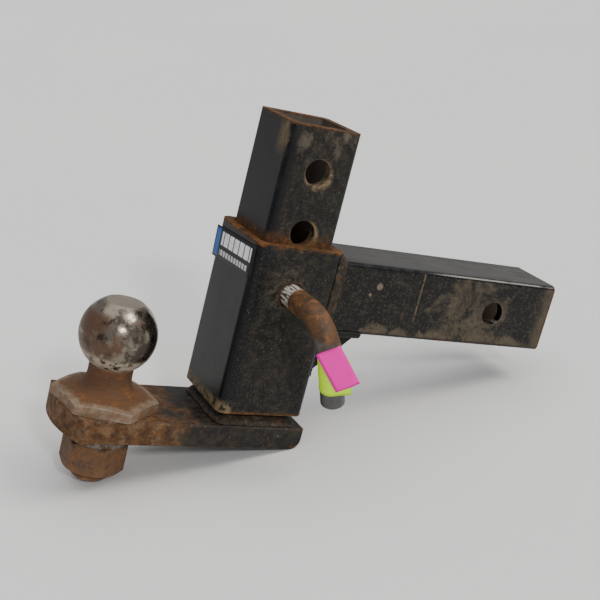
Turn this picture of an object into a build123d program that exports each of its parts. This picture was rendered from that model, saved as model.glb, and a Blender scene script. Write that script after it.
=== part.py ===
from build123d import *
import math
import os

# Adjustable trailer hitch with ball. All lengths are in millimetres.
# Origin: centre of the receiver pin hole in the shank. +X runs along the shank to its free end,
# +Z is up along the post and -Y is the side that the pull pin is drawn out of.

# Square tubes: 2 inch with a quarter inch wall, and a sleeve that slides on it.
TUBE = 50.8
TUBE_WALL = 6.35
TUBE_CORNER = 4.0
TUBE_INNER_CORNER = 1.5
SLEEVE = 63.5
SLEEVE_BORE = 52.4
SLEEVE_CORNER = 6.0
SLEEVE_BORE_CORNER = 4.0

# Pins and holes.
HOLE_R = 17.46 / 2
HOLE_PITCH = 40.5
POST_HOLES = 3
PIN_R = 15.875 / 2
PIN_SHAFT = 96.7
PIN_BEND_R = 22.0
PIN_BEND = 100.0
PIN_GRIP = 35.5
PIN_SWING = 24.0
PIN_DRAWN_OUT = 27.2
PIN_CHAMFER = 1.5
CLIP_HOLE_R = 2.2
CLIP_HOLE_FROM_TIP = 12.0

# Where the tubes stand.
POST_X = -170.2
SHANK_FREE_END = 51.4
SLEEVE_BOTTOM = -85.2
SLEEVE_TOP = 32.2
POST_TOP = 110.0

# Ball platform.
PLATE_BOTTOM = -110.3
PLATE_THICK = 16.0
PLATE_WIDTH = 64.0
PLATE_REAR = POST_X + 35.6
PLATE_REAR_ROUND = 8.0
PLATE_NOSE = 32.2
PLATE_NEAR_SAG = 10.2
PLATE_FAR_SAG = 5.3
PLATE_EDGE = 0.8
PLATE_TOP = PLATE_BOTTOM + PLATE_THICK

# Hitch ball, lock washer and nut: all on the ball's own axis.
BALL_X = POST_X - 98.6
BALL_R = 25.4
BALL_Z = PLATE_BOTTOM + 63.4
BALL_FLAT = 22.2
NECK_R = 14.6
FLANGE_R = 35.4
FLANGE_TURN = 40.7
FLANGE_SIDE = 6.7
FLANGE_EDGE = 1.2
FLANGE_CONE = 2.2
HUB_R = 23.2
HUB_TOP = 20.9
STUD_R = 12.7
STUD_HOLE_R = 13.1
STUD_END = PLATE_BOTTOM - 36.7
STUD_CHAMFER = 1.5
WASHER_R = 20.4
WASHER_THICK = 8.9
WASHER_SLIT = 2.5
NUT_ACROSS = 38.1
NUT_HEIGHT = 21.2
NUT_TURN = 28.8
NUT_BORE_R = 12.75
NUT_LIP = 1.2
NUT_CHAMFER = 3.1

# Side gussets under the shank, and weld beads.
GUSSET_THICK = 6.35
GUSSET_OUT = 24.4
GUSSET_LONG = 34.9
GUSSET_TALL = 35.1
GUSSET_NIB = 1.0
SHANK_WELD = 7.6
GUSSET_WELD_R = 2.6
PLATE_WELD = 6.2

# Label on the sleeve, and two paper tags on the pin's grip.
LABEL_LONG = 61.0
LABEL_TALL = 20.9
LABEL_THICK = 1.1
LABEL_CORNER = 1.5
LABEL_Y = 1.1
LABEL_Z = 16.7
LABEL_TILT = 3.5
TAG_THICK = 0.3
TAG_GAP = 0.05
WRAP_FROM_END = 12.5
WRAP_LONG = 27.0
WRAP_FLAP = 11.7
WRAP_TURN = 22.0
TAG_LONG = 32.0
TAG_WIDE = 15.0
TAG_TILT = 20.0
TAG_FROM_END = 34.6
TAG_ASIDE = 3.7

SLEEVE_REAR = POST_X + SLEEVE / 2
PIN_TIP_Y = PIN_SHAFT - PIN_DRAWN_OUT - SLEEVE / 2


def save(shape, name):
    export_step(shape, os.path.join("parts", name + ".step"))


def square_bar(size, corner, length):
    """A rounded square bar on the XY plane, going up."""
    return extrude(RectangleRounded(size, size, corner), amount=length)


def cross_hole(x, z, reach=SLEEVE):
    """A pin hole's cutter, lying along Y."""
    return Pos(x, 0, z) * Rot(90, 0, 0) * Cylinder(HOLE_R, 2 * reach)


def shank_bar(size, corner):
    """A bar along +X from the sleeve's rear face to the shank's free end."""
    length = SHANK_FREE_END - SLEEVE_REAR
    return Pos(SLEEVE_REAR, 0, 0) * Rot(0, 90, 0) * square_bar(size, corner, length)


def shank_outer():
    return shank_bar(TUBE, TUBE_CORNER)


def sleeve_outer():
    height = SLEEVE_TOP - SLEEVE_BOTTOM
    return Pos(POST_X, 0, SLEEVE_BOTTOM) * square_bar(SLEEVE, SLEEVE_CORNER, height)


def post_outer():
    return Pos(POST_X, 0, PLATE_TOP) * square_bar(TUBE, TUBE_CORNER, POST_TOP - PLATE_TOP)


def shank_tube():
    hollow = shank_bar(TUBE - 2 * TUBE_WALL, TUBE_INNER_CORNER)
    return shank_outer() - hollow - cross_hole(0, 0)


def sleeve_tube():
    height = SLEEVE_TOP - SLEEVE_BOTTOM
    bore = Pos(POST_X, 0, SLEEVE_BOTTOM) * square_bar(SLEEVE_BORE, SLEEVE_BORE_CORNER, height)
    return sleeve_outer() - bore - cross_hole(POST_X, 0)


def post_tube():
    inside = square_bar(TUBE - 2 * TUBE_WALL, TUBE_INNER_CORNER, POST_TOP - PLATE_TOP)
    tube = post_outer() - Pos(POST_X, 0, PLATE_TOP) * inside
    for step in range(POST_HOLES):
        tube -= cross_hole(POST_X, step * HOLE_PITCH)
    return tube


def gusset(side):
    """A 45 degree side plate under the shank. side is -1 or 1."""
    top = -TUBE / 2
    corners = [
        (SLEEVE_REAR, top),
        (SLEEVE_REAR + GUSSET_LONG, top),
        (SLEEVE_REAR + GUSSET_LONG, top - GUSSET_NIB),
        (SLEEVE_REAR + GUSSET_NIB, top - GUSSET_TALL),
        (SLEEVE_REAR, top - GUSSET_TALL),
    ]
    plate = extrude(Plane.XZ * Polygon(*corners, align=None), amount=GUSSET_THICK)
    y_high = GUSSET_OUT if side > 0 else GUSSET_THICK - GUSSET_OUT
    return Pos(0, y_high, 0) * plate


def shank_weld():
    """One bead all round the shank, tapering from the sleeve's rear face."""
    wide = TUBE + 1.5 * SHANK_WELD
    reach = 4.0
    foot = Pos(SLEEVE_REAR - reach, 0, 0) * Rot(0, 90, 0) * RectangleRounded(wide, wide, TUBE_CORNER)
    waist = Pos(SLEEVE_REAR, 0, 0) * Rot(0, 90, 0) * RectangleRounded(wide, wide, TUBE_CORNER)
    toe_x = SLEEVE_REAR + SHANK_WELD
    toe = Pos(toe_x, 0, 0) * Rot(0, 90, 0) * RectangleRounded(TUBE + 1.0, TUBE + 1.0, TUBE_CORNER)
    bead = loft([foot, waist], ruled=True) + loft([waist, toe], ruled=True)
    core = Pos(-reach, 0, 0) * shank_outer() + shank_outer()
    return bead - core - sleeve_outer() - gusset(-1) - gusset(1)


def gusset_welds():
    """Beads along the outside of both gussets, to the shank and to the sleeve."""
    beads = []
    down = GUSSET_TALL - GUSSET_WELD_R
    along = GUSSET_LONG - SHANK_WELD - GUSSET_WELD_R
    for side in (-1, 1):
        y = side * (GUSSET_OUT - 1.0)
        start = SLEEVE_REAR + SHANK_WELD
        to_shank = Pos(start + along / 2, y, -TUBE / 2) * Rot(0, 90, 0) * Cylinder(GUSSET_WELD_R, along)
        z = -TUBE / 2 - SHANK_WELD - (down - SHANK_WELD) / 2
        to_sleeve = Pos(SLEEVE_REAR, y, z) * Cylinder(GUSSET_WELD_R, down - SHANK_WELD)
        solid = gusset(side)
        inner = Pos(0, -side * GUSSET_THICK, 0) * solid
        for bead in (to_shank, to_sleeve):
            cut = bead - solid - inner - shank_outer() - sleeve_outer() - shank_weld()
            beads.append(cut.solids().sort_by(SortBy.VOLUME)[-1])
    return Compound(children=beads)


def ball_platform():
    nose_x = BALL_X - PLATE_NOSE
    half = PLATE_WIDTH / 2
    near = (nose_x + PLATE_NEAR_SAG, -half)
    far = (nose_x + PLATE_FAR_SAG, half)
    outline = [
        Line(near, (PLATE_REAR, -half)),
        Line((PLATE_REAR, -half), (PLATE_REAR, half)),
        Line((PLATE_REAR, half), far),
        ThreePointArc(far, (nose_x, 0), near),
    ]
    plate = Pos(0, 0, PLATE_BOTTOM) * extrude(make_face(outline), amount=PLATE_THICK)
    rear_low = plate.edges().filter_by(Axis.Y).group_by(Axis.Z)[0].sort_by(Axis.X)[-1]
    plate = fillet(rear_low, PLATE_REAR_ROUND)
    rims = plate.edges().filter_by(GeomType.LINE).filter_by(Axis.X)
    plate = chamfer(rims, PLATE_EDGE)
    hole = Pos(BALL_X, 0, PLATE_BOTTOM + PLATE_THICK / 2) * Cylinder(STUD_HOLE_R, 2 * PLATE_THICK)
    return plate - hole


def platform_weld():
    """The bead that joins the post's foot to the platform, all the way round."""
    wide = TUBE + 2 * PLATE_WELD
    foot = Pos(POST_X, 0, PLATE_TOP) * RectangleRounded(wide, wide, TUBE_CORNER + PLATE_WELD)
    top_z = PLATE_TOP + PLATE_WELD
    top = Pos(POST_X, 0, top_z) * RectangleRounded(TUBE + 0.6, TUBE + 0.6, TUBE_CORNER)
    return loft([foot, top], ruled=True) - post_outer()


def flange():
    """The ball's hexagonal foot: flat sides, a worn edge and a low cone on top."""
    tall = FLANGE_SIDE + FLANGE_CONE + 6.0
    hexagon = RegularPolygon(FLANGE_R, 6, rotation=FLANGE_TURN)
    flats = Pos(BALL_X, 0, PLATE_TOP) * extrude(hexagon, amount=tall)
    across = FLANGE_R * math.cos(math.radians(30))
    outline = Polyline(
        (0, 0),
        (FLANGE_R - FLANGE_EDGE / 2, 0),
        (FLANGE_R, FLANGE_EDGE / 2),
        (FLANGE_R, FLANGE_SIDE - FLANGE_EDGE),
        (across - FLANGE_EDGE, FLANGE_SIDE + FLANGE_EDGE / 2),
        (HUB_R, FLANGE_SIDE + FLANGE_CONE),
        (0, FLANGE_SIDE + FLANGE_CONE),
        close=True,
    )
    turned = revolve(Plane.XZ * make_face(outline), Axis.Z)
    return flats & (Pos(BALL_X, 0, PLATE_TOP) * turned)


def hitch_ball():
    """Ball, neck, hexagonal foot and threaded stud, forged and turned in one piece."""
    low = FLANGE_SIDE + FLANGE_CONE - 0.5
    centre = BALL_Z - PLATE_TOP
    waist = centre - math.sqrt(BALL_R**2 - NECK_R**2)
    flat_r = math.sqrt(BALL_R**2 - BALL_FLAT**2)
    hub = Line((HUB_R, low), (HUB_R, FLANGE_SIDE + FLANGE_CONE))
    flare = Spline(hub @ 1, (NECK_R, HUB_TOP), tangents=((-1, 0.2), (0, 1)))
    neck = Line(flare @ 1, (NECK_R, waist))
    globe = ThreePointArc(neck @ 1, (BALL_R, centre), (flat_r, centre + BALL_FLAT))
    top = Line(globe @ 1, (0, centre + BALL_FLAT))
    axis_line = Line(top @ 1, (0, low))
    bottom = Line(axis_line @ 1, (HUB_R, low))
    face = make_face([hub, flare, neck, globe, top, axis_line, bottom])
    turned = Pos(BALL_X, 0, PLATE_TOP) * revolve(Plane.XZ * face, Axis.Z)
    length = PLATE_TOP - STUD_END
    stud = Pos(BALL_X, 0, PLATE_TOP - length / 2) * Cylinder(STUD_R, length)
    stud = chamfer(stud.edges().group_by(Axis.Z)[0], STUD_CHAMFER)
    return flange() + turned + stud


def lock_washer():
    """A split ring: the slit is cut askew, as a spring washer's is."""
    z = PLATE_BOTTOM - WASHER_THICK / 2
    ring = Pos(BALL_X, 0, z) * (Cylinder(WASHER_R, WASHER_THICK) - Cylinder(STUD_HOLE_R, WASHER_THICK))
    slit = Box(WASHER_R, WASHER_SLIT, 3 * WASHER_THICK)
    return ring - Pos(BALL_X, 0, z) * Rot(0, 0, 150) * Pos(WASHER_R * 0.8, 0, 0) * Rot(25, 0, 0) * slit


def ball_nut():
    corner_r = NUT_ACROSS / 2 / math.cos(math.radians(30))
    top = PLATE_BOTTOM - WASHER_THICK
    hexagon = RegularPolygon(corner_r, 6, rotation=NUT_TURN)
    flats = Pos(BALL_X, 0, top - NUT_HEIGHT) * extrude(hexagon, amount=NUT_HEIGHT)
    outline = Polyline(
        (0, 0),
        (corner_r - NUT_CHAMFER, 0),
        (corner_r, NUT_CHAMFER * 0.8),
        (corner_r, NUT_HEIGHT - NUT_LIP),
        (NUT_ACROSS / 2, NUT_HEIGHT),
        (0, NUT_HEIGHT),
        close=True,
    )
    turned = Pos(BALL_X, 0, top - NUT_HEIGHT) * revolve(Plane.XZ * make_face(outline), Axis.Z)
    bore = Pos(BALL_X, 0, top) * Cylinder(NUT_BORE_R, 3 * NUT_HEIGHT)
    return (flats & turned) - bore


def pin_plane():
    """Local +X leaves the sleeve and local -Y is the way that the grip hangs."""
    swing = math.radians(PIN_SWING)
    normal = (-math.cos(swing), 0, -math.sin(swing))
    return Plane(origin=(POST_X, PIN_TIP_Y, 0), x_dir=(0, -1, 0), z_dir=normal)


def pin_path():
    shaft = Line((0, 0), (PIN_SHAFT, 0))
    bend = JernArc(start=shaft @ 1, tangent=shaft % 1, radius=PIN_BEND_R, arc_size=-PIN_BEND)
    grip = Line(bend @ 1, bend @ 1 + (bend % 1) * PIN_GRIP)
    return shaft, bend, grip


def pull_pin():
    """A bent round bar: straight shaft with a clip hole, one bend and a short grip."""
    shaft, bend, grip = pin_path()
    route = Wire([shaft, bend, grip])
    section = Plane(origin=route @ 0, z_dir=route % 0) * Circle(PIN_R)
    bar = sweep(section, path=route)
    rims = bar.edges().filter_by(GeomType.CIRCLE)
    tip_rim = rims.sort_by_distance(shaft @ 0)[0]
    bar = chamfer(tip_rim, PIN_CHAMFER)
    rims = bar.edges().filter_by(GeomType.CIRCLE)
    grip_rim = rims.sort_by_distance(grip @ 1)[0]
    bar = chamfer(grip_rim, PIN_CHAMFER)
    bar -= Pos(CLIP_HOLE_FROM_TIP, 0, 0) * Rot(90, 0, 0) * Cylinder(CLIP_HOLE_R, 3 * PIN_R)
    return pin_plane() * bar


def grip_plane(from_end):
    """Local Z runs down the grip, local X faces the side away from the sleeve."""
    shaft, bend, grip = pin_path()
    along = grip % 1
    spot = grip @ 1 - along * from_end
    local = Plane(origin=spot, x_dir=(-along.Y, along.X, 0), z_dir=along)
    return pin_plane() * local.location


def tag_wrap():
    """A paper strip round the grip, its two ends stuck together as a flap."""
    inner = PIN_R + TAG_GAP
    outer = inner + TAG_THICK
    ring = Cylinder(outer, WRAP_LONG) - Cylinder(inner, WRAP_LONG)
    flap = Pos(outer - TAG_THICK / 2, -WRAP_FLAP / 2, 0) * Box(TAG_THICK, WRAP_FLAP, WRAP_LONG)
    flap -= Cylinder(inner, WRAP_LONG)
    strip = grip_plane(WRAP_FROM_END + WRAP_LONG / 2) * Rot(0, 0, WRAP_TURN) * (ring + flap)
    return (strip - pull_pin()).solids().sort_by(SortBy.VOLUME)[-1]


def tag_face():
    """A flat paper rectangle stuck askew on the wrap."""
    out = PIN_R + TAG_GAP + TAG_THICK + TAG_GAP + TAG_THICK / 2
    sheet = Box(TAG_THICK, TAG_WIDE, TAG_LONG)
    place = Rot(0, 0, WRAP_TURN) * Pos(out, -TAG_ASIDE, 0) * Rot(TAG_TILT, 0, 0)
    return grip_plane(TAG_FROM_END) * place * sheet


def name_label():
    """A blank plate stuck on the sleeve's outer end face, its far end past the corner."""
    plate = extrude(RectangleRounded(LABEL_LONG, LABEL_TALL, LABEL_CORNER), amount=LABEL_THICK)
    face = Plane(origin=(POST_X - SLEEVE / 2, LABEL_Y, LABEL_Z), x_dir=(0, -1, 0), z_dir=(-1, 0, 0))
    return face * Rot(0, 0, LABEL_TILT) * plate


def main():
    os.makedirs("parts", exist_ok=True)
    save(shank_tube(), "shank_tube")
    save(sleeve_tube(), "sleeve_tube")
    save(post_tube(), "post_tube")
    save(gusset(-1), "gusset_near")
    save(gusset(1), "gusset_far")
    save(shank_weld(), "shank_weld")
    save(gusset_welds(), "gusset_welds")
    save(ball_platform(), "ball_platform")
    save(platform_weld(), "platform_weld")
    save(hitch_ball(), "hitch_ball")
    save(lock_washer(), "lock_washer")
    save(ball_nut(), "ball_nut")
    save(pull_pin(), "pull_pin")
    save(tag_wrap(), "tag_wrap")
    save(tag_face(), "tag_face")
    save(name_label(), "name_label")


main()
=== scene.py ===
import math
import bmesh
import bpy
from mathutils import Matrix, Vector, noise

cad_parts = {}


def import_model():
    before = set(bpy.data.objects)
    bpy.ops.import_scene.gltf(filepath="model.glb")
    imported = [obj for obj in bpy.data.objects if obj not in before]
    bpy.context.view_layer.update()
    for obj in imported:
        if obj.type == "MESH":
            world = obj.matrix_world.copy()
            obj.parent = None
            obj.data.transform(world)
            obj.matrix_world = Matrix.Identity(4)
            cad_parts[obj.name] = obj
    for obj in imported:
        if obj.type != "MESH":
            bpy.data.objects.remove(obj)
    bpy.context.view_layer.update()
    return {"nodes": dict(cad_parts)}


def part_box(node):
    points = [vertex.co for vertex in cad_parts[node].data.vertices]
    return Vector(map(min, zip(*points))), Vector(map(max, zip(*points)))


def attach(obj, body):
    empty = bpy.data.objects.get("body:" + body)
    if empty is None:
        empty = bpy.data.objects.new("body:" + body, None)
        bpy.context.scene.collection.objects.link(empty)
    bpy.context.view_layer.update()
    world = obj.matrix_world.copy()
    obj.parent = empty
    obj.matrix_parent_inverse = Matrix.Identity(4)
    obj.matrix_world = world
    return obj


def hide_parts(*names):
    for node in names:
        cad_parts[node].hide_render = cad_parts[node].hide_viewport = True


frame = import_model()

MM = 0.001

# ---- Driving places, in metres, read from the frame ------------------------------------------
SLEEVE_LOW, SLEEVE_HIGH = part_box("sleeve_tube")
POST_LOW, POST_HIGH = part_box("post_tube")
SHANK_LOW, SHANK_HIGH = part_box("shank_tube")
BALL_LOW, BALL_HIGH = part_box("hitch_ball")
NUT_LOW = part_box("ball_nut")[0]
PIN_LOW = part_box("pull_pin")[0]
POST_X = (POST_LOW[0] + POST_HIGH[0]) / 2
BALL_X = (BALL_LOW[0] + BALL_HIGH[0]) / 2

# ---- Sizes that the frame doesn't give --------------------------------------------------------
HOLE_PITCH = 40.5 * MM
SLEEVE_CORNER = 6.0 * MM
BALL_CROWN = 22.2 * MM
FLANGE_TURN = math.radians(40.7)
STUD_R = 12.7 * MM
THREAD_PITCH = 3.63 * MM
BORE = 19.05  # half the width of a square tube's bore, in millimetres

# The pull pin's line: straight out of the sleeve, one bend, then the grip.
PIN_R = 7.94 * MM
PIN_BEND_R = 22.0 * MM
PIN_GRIP = 35.5 * MM
PIN_BEND = math.radians(100)
PIN_SWING = math.radians(24)
BEND_START = Vector((POST_X, PIN_LOW[1] + PIN_BEND_R + PIN_R, 0))

# Paper tags on the grip, and the label on the sleeve.
WRAP_FROM_END, WRAP_LONG, WRAP_FLAP = 12.5 * MM, 27.0 * MM, 11.7 * MM
WRAP_TURN = math.radians(22)
TAG_FROM_END, TAG_LONG, TAG_WIDE, TAG_ASIDE = 34.2 * MM, 33.2 * MM, 16.4 * MM, 3.7 * MM
TAG_TILT = math.radians(20)
PAPER = 0.16 * MM
LABEL_LONG, LABEL_TALL, LABEL_THICK = 61.0 * MM, 20.9 * MM, 0.7 * MM
LABEL_LIFT = 0.5 * MM
LABEL_TILT = math.radians(3.5)

# Weld beads: the grain of their mesh, and how far apart their ripples are.
WELD_GRAIN = 0.85 * MM
WELD_PITCH = 3.4 * MM

# The camera: its lens in millimetres, its place in metres, and its angles in degrees.
CAMERA_LENS = 68.08
CAMERA_PLACE = (-0.52431, -0.64772, 0.19179)
CAMERA_AZIMUTH, CAMERA_ELEVATION, CAMERA_ROLL = 30.38, 15.20, 14.51

# How far the floor reaches each way, in metres.
FLOOR_REACH = 6.0


# ---- Node materials ---------------------------------------------------------------------------
class Finish:
    """A procedural material laid on in coats. Lengths are millimetres in the part's own frame."""

    def __init__(self, name, colour, rough, metal=0.0, specular=0.5):
        self.material = bpy.data.materials.new(name)
        self.material.use_nodes = True
        self.tree = self.material.node_tree
        self.shader = self.tree.nodes["Principled BSDF"]
        self.shader.inputs["Specular IOR Level"].default_value = specular
        coord = self.tree.nodes.new("ShaderNodeTexCoord")
        scaled = self.node("ShaderNodeVectorMath", operation="MULTIPLY")
        self.link(coord.outputs["Object"], scaled.inputs[0])
        scaled.inputs[1].default_value = (1000, 1000, 1000)
        self.place = scaled.outputs[0]
        split = self.node("ShaderNodeSeparateXYZ")
        self.link(self.place, split.inputs[0])
        self.x, self.y, self.z = split.outputs
        turned = self.node("ShaderNodeSeparateXYZ")
        self.link(coord.outputs["Normal"], turned.inputs[0])
        self.nx, self.ny, self.nz = turned.outputs
        self.colour, self.rough, self.metal = colour, rough, metal
        self.height = 0.0
        self.round = 0.5

    def node(self, kind, **settings):
        made = self.tree.nodes.new(kind)
        for key, value in settings.items():
            setattr(made, key, value)
        return made

    def link(self, source, target):
        self.tree.links.new(source, target)

    def put(self, value, target):
        if isinstance(value, bpy.types.NodeSocket):
            self.link(value, target)
        elif isinstance(value, tuple) and len(value) == 3 and target.type == "RGBA":
            target.default_value = (*value, 1.0)
        else:
            target.default_value = value

    def math(self, operation, a, b=0.0, clamp=False):
        made = self.node("ShaderNodeMath", operation=operation, use_clamp=clamp)
        self.put(a, made.inputs[0])
        self.put(b, made.inputs[1])
        return made.outputs[0]

    def add(self, a, b):
        return self.math("ADD", a, b)

    def times(self, *values):
        result = values[0]
        for value in values[1:]:
            result = self.math("MULTIPLY", result, value)
        return result

    def either(self, *values):
        result = values[0]
        for value in values[1:]:
            result = self.math("MAXIMUM", result, value)
        return result

    def away(self, value, middle=0.0):
        """How far a coordinate is from a place on its axis."""
        return self.math("ABSOLUTE", self.math("SUBTRACT", value, middle))

    def step(self, value, low, high):
        """0 below low, 1 above high, smooth between. With low above high it falls instead."""
        made = self.node("ShaderNodeMapRange", interpolation_type="SMOOTHSTEP")
        self.put(value, made.inputs["Value"])
        made.inputs["From Min"].default_value = min(low, high)
        made.inputs["From Max"].default_value = max(low, high)
        if low > high:
            made.inputs["To Min"].default_value = 1.0
            made.inputs["To Max"].default_value = 0.0
        return made.outputs["Result"]

    def mix(self, mask, a, b):
        made = self.node("ShaderNodeMix", data_type="FLOAT")
        self.put(mask, made.inputs["Factor"])
        self.put(a, made.inputs[2])
        self.put(b, made.inputs[3])
        return made.outputs[0]

    def blend(self, mask, a, b):
        made = self.node("ShaderNodeMix", data_type="RGBA")
        self.put(mask, made.inputs["Factor"])
        self.put(a, made.inputs[6])
        self.put(b, made.inputs[7])
        return made.outputs[2]

    def noise(self, size, detail=5.0, rough=0.6, stretch=(1, 1, 1), seed=0.0, bend=0.0):
        """Fractal noise whose blotches are about size millimetres, longer along stretch."""
        moved = self.node("ShaderNodeMapping")
        self.link(self.place, moved.inputs["Vector"])
        moved.inputs["Scale"].default_value = [1.0 / (size * s) for s in stretch]
        moved.inputs["Location"].default_value = (seed * 7.3, seed * 3.1, seed * 5.7)
        made = self.node("ShaderNodeTexNoise")
        self.link(moved.outputs[0], made.inputs["Vector"])
        made.inputs["Scale"].default_value = 1.0
        made.inputs["Detail"].default_value = detail
        made.inputs["Roughness"].default_value = rough
        made.inputs["Distortion"].default_value = bend
        return made.outputs[0]

    def blotches(self, low, high, size, detail=5.0, rough=0.6, stretch=(1, 1, 1), seed=0.0, bend=0.0):
        """Noise made into patches, by the same rule as step."""
        return self.step(self.noise(size, detail, rough, stretch, seed, bend), low, high)

    def fray(self, size, width, detail=6, rough=0.7, seed=0.0):
        """An uneven shift within half of width either way, which roughens a mask's edge."""
        return self.times(self.add(self.noise(size, detail, rough, seed=seed), -0.5), width)

    def specks(self, size, radius, extra=0.0):
        """Small irregular dots, one to a cell of size millimetres. Fewer are left out as extra rises."""
        warp = self.node("ShaderNodeTexNoise")
        self.link(self.place, warp.inputs["Vector"])
        warp.inputs["Scale"].default_value = 1.2 / size
        shift = self.node("ShaderNodeVectorMath", operation="MULTIPLY_ADD")
        self.link(warp.outputs["Color"], shift.inputs[0])
        shift.inputs[1].default_value = (size, size, size)
        self.link(self.place, shift.inputs[2])
        cells = self.node("ShaderNodeTexVoronoi")
        self.link(shift.outputs[0], cells.inputs["Vector"])
        cells.inputs["Scale"].default_value = 1.0 / size
        dots = self.step(cells.outputs["Distance"], radius / size, radius * 0.45 / size)
        chosen = self.node("ShaderNodeSeparateColor")
        self.link(cells.outputs["Color"], chosen.inputs[0])
        kept = self.step(self.add(chosen.outputs[0], extra), 0.45, 0.8)
        return self.times(dots, kept)

    def disc(self, x, z, inner, outer):
        """A round mask about an axis along Y: 1 within inner, and 0 beyond outer."""
        dx = self.math("SUBTRACT", self.x, x)
        dz = self.math("SUBTRACT", self.z, z)
        far = self.math("SQRT", self.add(self.times(dx, dx), self.times(dz, dz)))
        return self.step(far, outer, inner)

    def corner(self):
        """The rounded long edges of a tube, where the surface faces between two axes."""
        sides = [self.math("ABSOLUTE", n) for n in (self.nx, self.ny, self.nz)]
        return self.step(self.either(*sides), 0.985, 0.90)

    def edge(self, radius):
        """1 on sharp edges, within radius millimetres of them."""
        soft = self.node("ShaderNodeBevel", samples=6)
        soft.inputs["Radius"].default_value = radius * MM
        geometry = self.node("ShaderNodeNewGeometry")
        dot = self.node("ShaderNodeVectorMath", operation="DOT_PRODUCT")
        self.link(soft.outputs[0], dot.inputs[0])
        self.link(geometry.outputs["Normal"], dot.inputs[1])
        return self.step(dot.outputs["Value"], 0.985, 0.86)

    def faces(self, n, sign):
        """1 where the surface faces one way along an axis."""
        return self.step(self.times(n, float(sign)), 0.75, 0.95)

    def both(self, n):
        """1 where the surface faces either way along an axis."""
        return self.step(self.math("ABSOLUTE", n), 0.75, 0.95)

    def lay(self, mask, colour, rough, metal=0.0, height=0.0):
        """Lay a coat over what is there already, where mask is 1."""
        self.colour = self.blend(mask, self.colour, colour)
        self.rough = self.mix(mask, self.rough, rough)
        self.metal = self.mix(mask, self.metal, metal)
        if height:
            self.height = self.add(self.height, self.times(mask, height))

    def emboss(self, value, height):
        self.height = self.add(self.height, self.times(value, height))

    def done(self, node=None):
        bump = self.node("ShaderNodeBump")
        bump.inputs["Distance"].default_value = MM
        self.put(self.height, bump.inputs["Height"])
        if self.round:
            rounded = self.node("ShaderNodeBevel", samples=4)
            rounded.inputs["Radius"].default_value = self.round * MM
            self.link(rounded.outputs[0], bump.inputs["Normal"])
        self.link(bump.outputs[0], self.shader.inputs["Normal"])
        self.put(self.colour, self.shader.inputs["Base Color"])
        self.put(self.rough, self.shader.inputs["Roughness"])
        self.put(self.metal, self.shader.inputs["Metallic"])
        if node:
            dress(frame["nodes"][node], self.material)
        return self.material


def dress(obj, material):
    """Give the whole object one material."""
    for slot in obj.material_slots:
        slot.material = material
    if not obj.material_slots:
        obj.data.materials.append(material)


# ---- Colours, as linear red, green and blue ---------------------------------------------------
BLACK = (0.0052, 0.0050, 0.0048)
# Blue-black, laid as painted shade and painted bluish reflection on and beside rounded edges.
SHADE_BLUE_BLACK = (0.0024, 0.0028, 0.0044)
CHARCOAL = (0.0095, 0.0090, 0.0092)
DIRT = (0.050, 0.039, 0.025)
DARK_DIRT = (0.018, 0.014, 0.010)
GREY_BROWN = (0.105, 0.088, 0.064)
TAN = (0.210, 0.148, 0.078)
CHIP = (0.100, 0.095, 0.085)
BARE_STEEL = (0.42, 0.40, 0.38)
RUST_DARK = (0.040, 0.019, 0.008)
RUST = (0.125, 0.052, 0.015)
RUST_ORANGE = (0.285, 0.098, 0.016)
DUST = (0.075, 0.064, 0.048)
EARTH = (0.165, 0.128, 0.084)
PALE_EARTH = (0.15, 0.125, 0.09)
DRIED_MUD = (0.17, 0.135, 0.090)
COLD_GREY = (0.100, 0.102, 0.105)
# Grey for the painted sheen on the shank's top and bottom faces.
TOP_SHEEN_GREY = (0.052, 0.049, 0.046)
# Pale metal for a painted highlight.
PAINTED_GLINT = (0.36, 0.34, 0.31)
WORN_LIP = (0.25, 0.23, 0.20)
RUST_WASH = (0.160, 0.098, 0.050)
WELD_SCALE = (0.022, 0.017, 0.012)
WELD_BROWN = (0.075, 0.054, 0.034)

# The ball, its neck and its foot.
BALL_STEEL = (0.215, 0.182, 0.145)
BROWN_FILM = (0.060, 0.026, 0.012)
BROWN_FILM_LIGHT = (0.105, 0.048, 0.021)
DARK_FILM = (0.030, 0.022, 0.017)
# Pale, for the floor reflection painted low on the ball.
FLOOR_REFLECTION_PALE = (0.40, 0.34, 0.26)
FLAT_DARK = (0.15, 0.115, 0.080)
FLAT_PALE = (0.32, 0.27, 0.21)
NECK_DARK = (0.085, 0.034, 0.010)
NECK_RED = (0.150, 0.064, 0.020)
NECK_ORANGE = (0.250, 0.090, 0.016)
NECK_SHADE = (0.070, 0.030, 0.012)
SCALE_BROWN = (0.150, 0.092, 0.048)
SCALE_GREY = (0.300, 0.245, 0.175)
CRUST = (0.055, 0.028, 0.014)
RUBBED_STEEL = (0.33, 0.285, 0.22)

# The nut, the washer and the pull pin.
NUT_RUST = (0.140, 0.062, 0.022)
NUT_RED = (0.120, 0.054, 0.018)
NUT_DARK = (0.070, 0.038, 0.024)
NUT_WORN = (0.21, 0.16, 0.12)
WASHER_STEEL = (0.20, 0.18, 0.155)
PIN_RUST = (0.100, 0.042, 0.012)
PIN_DARK = (0.048, 0.025, 0.011)
PIN_ORANGE = (0.190, 0.070, 0.015)
GRIP_GREY = (0.125, 0.118, 0.104)
GRIP_END_DARK = (0.04, 0.042, 0.046)
GRIP_END_GREY = (0.10, 0.10, 0.10)
MOUTH_BROWN = (0.10, 0.055, 0.035)
SCRAPED = (0.66, 0.63, 0.57)
SHAFT_STEEL = (0.30, 0.28, 0.25)

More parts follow.
